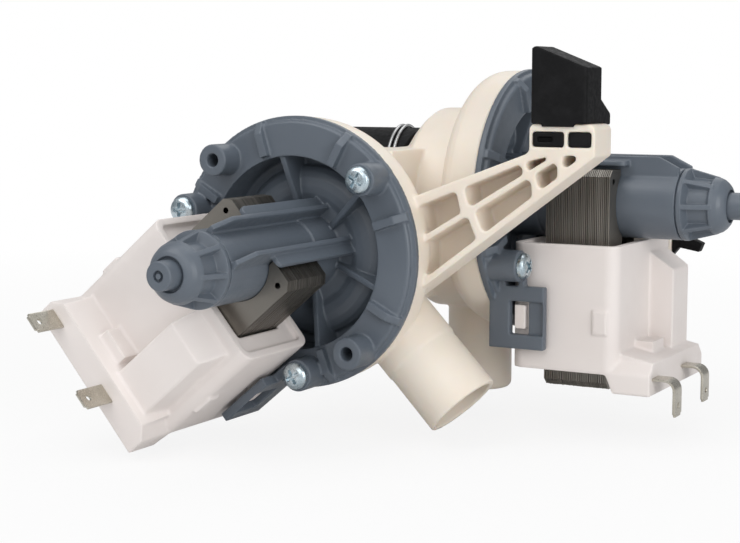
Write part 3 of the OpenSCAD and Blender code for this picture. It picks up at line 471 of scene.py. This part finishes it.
class Shape:
    """Closed shells gathered in one mesh, in mm along the axes of what carries them."""

    def __init__(self, place: Matrix | None = None) -> None:
        """Starts an empty shape.

        Args:
            place: Where the shape's axes stand in the row frame, in mm.
        """
        self.place = place or Matrix.Identity(4)
        self.mesh = bmesh.new()
        self.nodes: list[str] = []

    def node(self, frame: dict, name: str) -> "Shape":
        """Adds a copy of a CAD node, which the shape then stands for.

        Args:
            name: The node's name.

        Returns:
            The shape itself.
        """
        self.nodes.append(name)
        known = len(self.mesh.verts)
        self.mesh.from_mesh(frame["nodes"][name].data)
        self.mesh.verts.ensure_lookup_table()
        fresh = self.mesh.verts[known:]
        to_own = self.place.inverted() @ Matrix.Scale(1 / MM, 4)
        bmesh.ops.transform(self.mesh, matrix=to_own, verts=fresh)
        bmesh.ops.remove_doubles(self.mesh, verts=fresh, dist=WELD)
        return self

    def prism(self, outline: Outline, low: float, high: float, turn: Matrix) -> "Shape":
        """Adds an outline drawn in x and y and drawn out along z.

        Args:
            outline: The outline's points, counterclockwise.
            low: Start along z.
            high: End along z.
            turn: Where the prism's axes stand on the shape's.

        Returns:
            The shape itself.
        """
        floor, roof = ([self.mesh.verts.new(turn @ Vector((x, y, z))) for x, y in outline]
                       for z in (low, high))
        self.mesh.faces.new(floor[::-1])
        self.mesh.faces.new(roof)
        for i, foot in enumerate(floor):
            j = (i + 1) % len(floor)
            self.mesh.faces.new((foot, floor[j], roof[j], roof[i]))
        return self

    def lathe(self, profile: Outline | Profile, steps: int = 96) -> "Shape":
        """Adds a closed profile of radius and z turned about the z axis.

        Args:
            profile: The profile's points.
            steps: Facets round the axis.

        Returns:
            The shape itself.
        """
        rings = []
        for k in range(steps):
            angle = math.tau * k / steps
            rings.append([self.mesh.verts.new((r * math.cos(angle), r * math.sin(angle), z))
                          for r, z in profile])
        for k, ring in enumerate(rings):
            following = rings[(k + 1) % steps]
            for i, vert in enumerate(ring):
                j = (i + 1) % len(ring)
                self.mesh.faces.new((vert, ring[j], following[j], following[i]))
        return self

    def tube(self, path: list[Vector], radius: float, sides: int = 12) -> "Shape":
        """Adds a round tube along a path with a dome at each end.

        Args:
            path: The points of the tube's middle line.
            radius: The tube's radius.
            sides: Facets round the tube.

        Returns:
            The shape itself.
        """
        rings = []
        for i, point in enumerate(path):
            ahead = (path[min(i + 1, len(path) - 1)] - path[max(i - 1, 0)]).normalized()
            across = ahead.cross(Vector((0, 0, 1))).normalized()
            rise = across.cross(ahead)
            for shift, share in self._ends(i, len(path)):
                middle = point + ahead * radius * shift
                rings.append([])
                for k in range(sides):
                    angle = math.tau * k / sides
                    spoke = across * math.cos(angle) + rise * math.sin(angle)
                    rings[-1].append(self.mesh.verts.new(middle + radius * share * spoke))
        self.mesh.faces.new(rings[0])
        self.mesh.faces.new(rings[-1][::-1])
        for ring, following in zip(rings, rings[1:]):
            for k in range(sides):
                m = (k + 1) % sides
                self.mesh.faces.new((ring[m], ring[k], following[k], following[m]))
        return self

    @staticmethod
    def _ends(i: int, count: int) -> list[tuple[float, float]]:
        """Finds the rings that a tube needs at one of its points: a dome at the first and last.

        Args:
            i: The point's place in the path.
            count: How many points the path has.

        Returns:
            Each ring's shift along the path and its size, both as shares of the tube's radius.
        """
        dome = [(-0.55, 0.55), (-0.25, 0.88)]
        if i == 0:
            return [*dome, (0, 1)]
        if i == count - 1:
            return [(0, 1), *[(-shift, share) for shift, share in reversed(dome)]]
        return [(0, 1)]

    def piece(self, name: str, slot: str, finishes: Finishes, body: str = "pump") -> None:
        """Turns the shape into a piece of the pump.

        Args:
            name: The piece's name.
            slot: The record's slot that gives its finish.
            finishes: The pump's finishes.
            body: The CAD body that it rides on.
        """
        bmesh.ops.recalc_face_normals(self.mesh, faces=self.mesh.faces)
        bmesh.ops.scale(self.mesh, vec=(MM, MM, MM), verts=self.mesh.verts)
        mesh = bpy.data.meshes.new(name)
        self.mesh.to_mesh(mesh)
        self.mesh.free()
        mesh.shade_smooth()
        mesh.set_sharp_from_angle(angle=math.radians(CREASE))
        mesh.materials.append(finishes.by_slot[slot])
        piece = bpy.data.objects.new(name, mesh)
        bpy.context.scene.collection.objects.link(piece)
        turn = self.place.copy()
        turn.translation *= MM
        piece.matrix_world = turn
        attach(piece, body)
        if self.nodes:
            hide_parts(*self.nodes)
        log.info("%s: %d faces", name, len(mesh.polygons))


@dataclass(frozen=True)
class Moulding:
    """How a closed solid becomes a moulded skin, its edges rounded and its inner corners filleted.

    The voxel is the skin's finest detail in mm, rounds counts the smoothing passes, and keep is the
    share of faces that stays. Backing is the profile of a ring that backs a thin wall from inside.
    """

    voxel: float
    rounds: int
    keep: float
    backing: Profile = ()

    def cast(self, shape: Shape) -> None:
        """Melts a shape's shells into one skin with soft edges.

        Args:
            shape: The shells to melt, which are replaced by the skin.
        """
        if self.backing:
            shape.lathe(self.backing)
        mesh = bpy.data.meshes.new("melt")
        shape.mesh.to_mesh(mesh)
        melt = bpy.data.objects.new("melt", mesh)
        bpy.context.scene.collection.objects.link(melt)
        remesh = melt.modifiers.new("remesh", "REMESH")
        remesh.mode = "VOXEL"
        remesh.voxel_size = self.voxel * 1.0
        smooth = melt.modifiers.new("smooth", "SMOOTH")
        smooth.factor, smooth.iterations = 0.5, self.rounds
        thin = melt.modifiers.new("thin", "DECIMATE")
        thin.ratio = self.keep
        done = melt.evaluated_get(bpy.context.evaluated_depsgraph_get()).to_mesh()
        shape.mesh.clear()
        shape.mesh.from_mesh(done)
        bpy.data.objects.remove(melt)
        bpy.data.meshes.remove(mesh)


@dataclass(frozen=True)
class Skin:
    """The moulded skin of one CAD node: the node's name, its slot and how the skin is cast."""

    node: str
    slot: str
    melt: Moulding

    def build(self, frame: dict, finishes: Finishes, place: Matrix | None = None,
              prefix: str = "") -> None:
        """Casts the skin and makes it a piece.

        Args:
            finishes: The pump's finishes.
            place: The axes in which the skin is cast, in mm.
            prefix: What the node's and the piece's name begin with.
        """
        shape = Shape(place).node(frame, prefix + self.node)
        self.melt.cast(shape)
        shape.piece(f"{prefix}{self.node}_moulded", self.slot, finishes)


@dataclass(frozen=True)
class Core:
    """The laminated core, stacked from single sheets that lie a little unevenly. Sizes in mm."""

    sheets: int = 35
    stack: float = 20.8
    foot: float = 13.1
    half_width: float = 16.5
    yoke_end: float = 56.4
    yoke: float = 12.6
    leg_end: float = 10.5
    leg: float = 11.0
    pole_r: float = 11.25
    pole_steps: int = 18
    slot: float = 7.3
    cut: float = 2.0
    hole_x: float = -7.0
    hole_y: float = 13.4
    hole_r: float = 0.9
    hole_steps: int = 16
    seam: float = 0.2
    uneven: float = 0.12
    share_x: float = 0.999
    share_y: float = 0.997

    def outline(self) -> Outline:
        """Draws one sheet, with its two rivet holes reached by a closed slit.

        Returns:
            The sheet's outline across the shaft, with x to the coil.
        """
        inner = self.half_width - self.leg
        start = math.asin(inner / self.pole_r)
        stop = math.pi - math.asin(self.slot / self.pole_r)
        angles = (start + (stop - start) * k / self.pole_steps for k in range(self.pole_steps + 1))
        arc = [(self.pole_r * math.cos(a), self.pole_r * math.sin(a)) for a in angles]
        x, y, r = self.hole_x, self.hole_y, self.hole_r
        angles = (math.tau * k / self.hole_steps for k in range(self.hole_steps + 1))
        hole = [(x - r * math.cos(a), y + r * math.sin(a)) for a in angles]
        half = [(self.yoke_end - self.yoke, inner), *arc, (-self.leg_end, self.slot),
                (-self.leg_end, y), *hole, (-self.leg_end, y),
                (-self.leg_end, self.half_width - self.cut),
                (-self.leg_end + self.cut, self.half_width),
                (self.yoke_end - self.cut, self.half_width),
                (self.yoke_end, self.half_width - self.cut)]
        return half + [(x, -y) for x, y in reversed(half)]

    def build(self, station: Station, finishes: Finishes) -> None:
        """Stacks the sheets of one motor's core.

        Args:
            station: The pump that the core belongs to.
            finishes: The pump's finishes.
        """
        shape = Shape(station.matrix)
        shape.nodes.append(station.prefix + "stator_core")
        chance = random.Random(station.value)
        pitch = self.stack / self.sheets
        outline = [(x * self.share_x, y * self.share_y) for x, y in self.outline()]
        for k in range(self.sheets):
            back = -chance.uniform(0, self.uneven)
            aside = chance.uniform(-1, 1) * self.uneven / 2
            low = self.foot + k * pitch
            slip = Matrix.Translation((back, aside, 0))
            shape.prism(outline, low + self.seam, low + pitch, slip)
        shape.piece(station.prefix + "sheet_stack", "laminations", finishes)


@dataclass(frozen=True)
class Motor:
    """One synchronous motor: cover, tail cap, coil housing, terminals, screws and core."""

    station: Station
    skins: tuple[Skin, ...] = (
        Skin("motor_cover", "cover_plastic", Moulding(0.32, 3, 0.3)),
        Skin("tail_cap", "cover_plastic", Moulding(0.18, 2, 0.35, (
            (6.4, 54.0), (7.9, 54.0), (7.9, 56.7), (6.4, 56.7)))),
        Skin("coil_housing", "housing_plastic", Moulding(0.4, 4, 0.3)),
        Skin("terminals", "tinned_brass", Moulding(0.16, 1, 0.6)),
        Skin("cover_screws", "zinc_steel", Moulding(0.13, 1, 0.5)),
    )
    core: Core = field(default_factory=Core)

    def build(self, frame: dict, finishes: Finishes) -> None:
        """Builds and dresses the motor.

        Args:
            finishes: The pump's finishes.
        """
        for skin in self.skins:
            skin.build(frame, finishes, self.station.matrix, self.station.prefix)
        self.core.build(self.station, finishes)


@dataclass(frozen=True)
class PumpBody:
    """The cream housing with its arm and outlets, and the two rubber mounts.

    The housing's flat faces lie on its axes, so its skin is cast in axes shifted off them, in mm.
    """

    shift: Point = (0.13, 0.17, 0.11)
    housing: Skin = Skin("pump_housing", "cream_plastic", Moulding(0.42, 3, 0.25))
    mounts: tuple[Skin, ...] = (
        Skin("mount_rubber", "black_rubber", Moulding(0.3, 2, 0.4)),
        Skin("rear_mount_rubber", "black_rubber", Moulding(0.3, 2, 0.4)),
    )

    def build(self, frame: dict, finishes: Finishes) -> None:
        """Builds and dresses the housing and the mounts.

        Args:
            finishes: The pump's finishes.
        """
        self.housing.build(frame, finishes, Matrix.Translation(self.shift))
        for mount in self.mounts:
            mount.build(frame, finishes)


@dataclass(frozen=True)
class InletHose:
    """The inlet hose with its bead at the pump, and the wire clamp round it.

    Sizes are in mm and angles in degrees. The bead's points are depths below the hose's outside and
    distances from its start.
    """

    start: float = 36.8
    length: float = 55.0
    outer: float = 22.0
    seat: float = 17.5
    seat_length: float = 21.6
    bore: float = 17.0
    edge: float = 1.2
    edge_steps: int = 6
    lip: float = 0.5
    bead: Profile = ((1.2, 0), (0.3, 0.35), (0, 1.2), (0, 2.4))
    facets: int = 144
    wire: float = 0.55
    wire_gap: float = 0.1
    wire_steps: int = 260
    pitch: float = 1.9
    clamp_in: float = 7.0
    lean: float = 12.0
    turn_start: float = 100.0
    span: float = 750.0
    ear: float = 6.0
    ear_steps: tuple[float, ...] = (0.3, 0.5, 0.75, 1.0)

    def profile(self) -> Outline:
        """Draws the hose's section.

        Returns:
            Radius and place along the rear motor's shaft of each point.
        """
        top, end = -self.start, -self.start - self.length
        angles = (math.radians(90 / self.edge_steps * k) for k in range(self.edge_steps + 1))
        arc = [(self.outer - self.edge + self.edge * math.cos(a),
                end + self.edge - self.edge * math.sin(a)) for a in angles]
        bead = [(self.outer - depth, top - along) for depth, along in self.bead]
        return [(self.seat, top), *bead, *arc, (self.bore + self.lip, end), (self.bore, end + self.lip),
                (self.bore, top - self.seat_length), (self.seat, top - self.seat_length)]

    def ear_path(self, foot: Vector) -> list[Vector]:
        """Draws one ear of the clamp.

        Args:
            foot: Where the ear leaves the turns.

        Returns:
            The ear's line, outwards from its foot.
        """
        out = Vector((foot.x, foot.y, 0)).normalized() * self.ear
        return [foot + out * share for share in self.ear_steps]

    def wire_path(self) -> list[Vector]:
        """Draws the clamp: an ear, a little over two turns that lean on the hose, and an ear.

        Returns:
            The wire's middle line.
        """
        ring_r = self.outer + self.wire + self.wire_gap
        slope = math.tan(math.radians(self.lean))
        middle = -self.start - self.clamp_in
        turns = []
        for i in range(self.wire_steps + 1):
            angle = math.radians(self.turn_start + self.span * i / self.wire_steps)
            climb = self.pitch * (i / self.wire_steps - 0.5) * self.span / 360
            rise = climb - ring_r * math.sin(angle) * slope
            turns.append(Vector((ring_r * math.cos(angle), ring_r * math.sin(angle), middle + rise)))
        return self.ear_path(turns[0])[::-1] + turns + self.ear_path(turns[-1])

    def build(self, finishes: Finishes) -> None:
        """Builds and dresses the hose and its clamp.

        Args:
            finishes: The pump's finishes.
        """
        hose = Shape(Station.REAR.matrix).lathe(self.profile(), self.facets)
        hose.nodes.append("inlet_hose")
        hose.piece("inlet_hose_tube", "black_rubber", finishes)
        clamp = Shape(Station.REAR.matrix).tube(self.wire_path(), self.wire)
        clamp.nodes.append("hose_clamp")
        clamp.piece("hose_clamp_wire", "spring_steel", finishes)


def main() -> None:
    """Builds every sub-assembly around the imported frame."""
    logging.basicConfig(level=logging.INFO, format="%(name)s: %(message)s")
    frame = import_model()
    Stage().build()
    finishes = Finishes()
    finishes.dress_nodes(frame)
    for station in Station:
        Motor(station).build(frame, finishes)
    PumpBody().build(frame, finishes)
    InletHose().build(finishes)


if __name__ == "__main__":
    main()
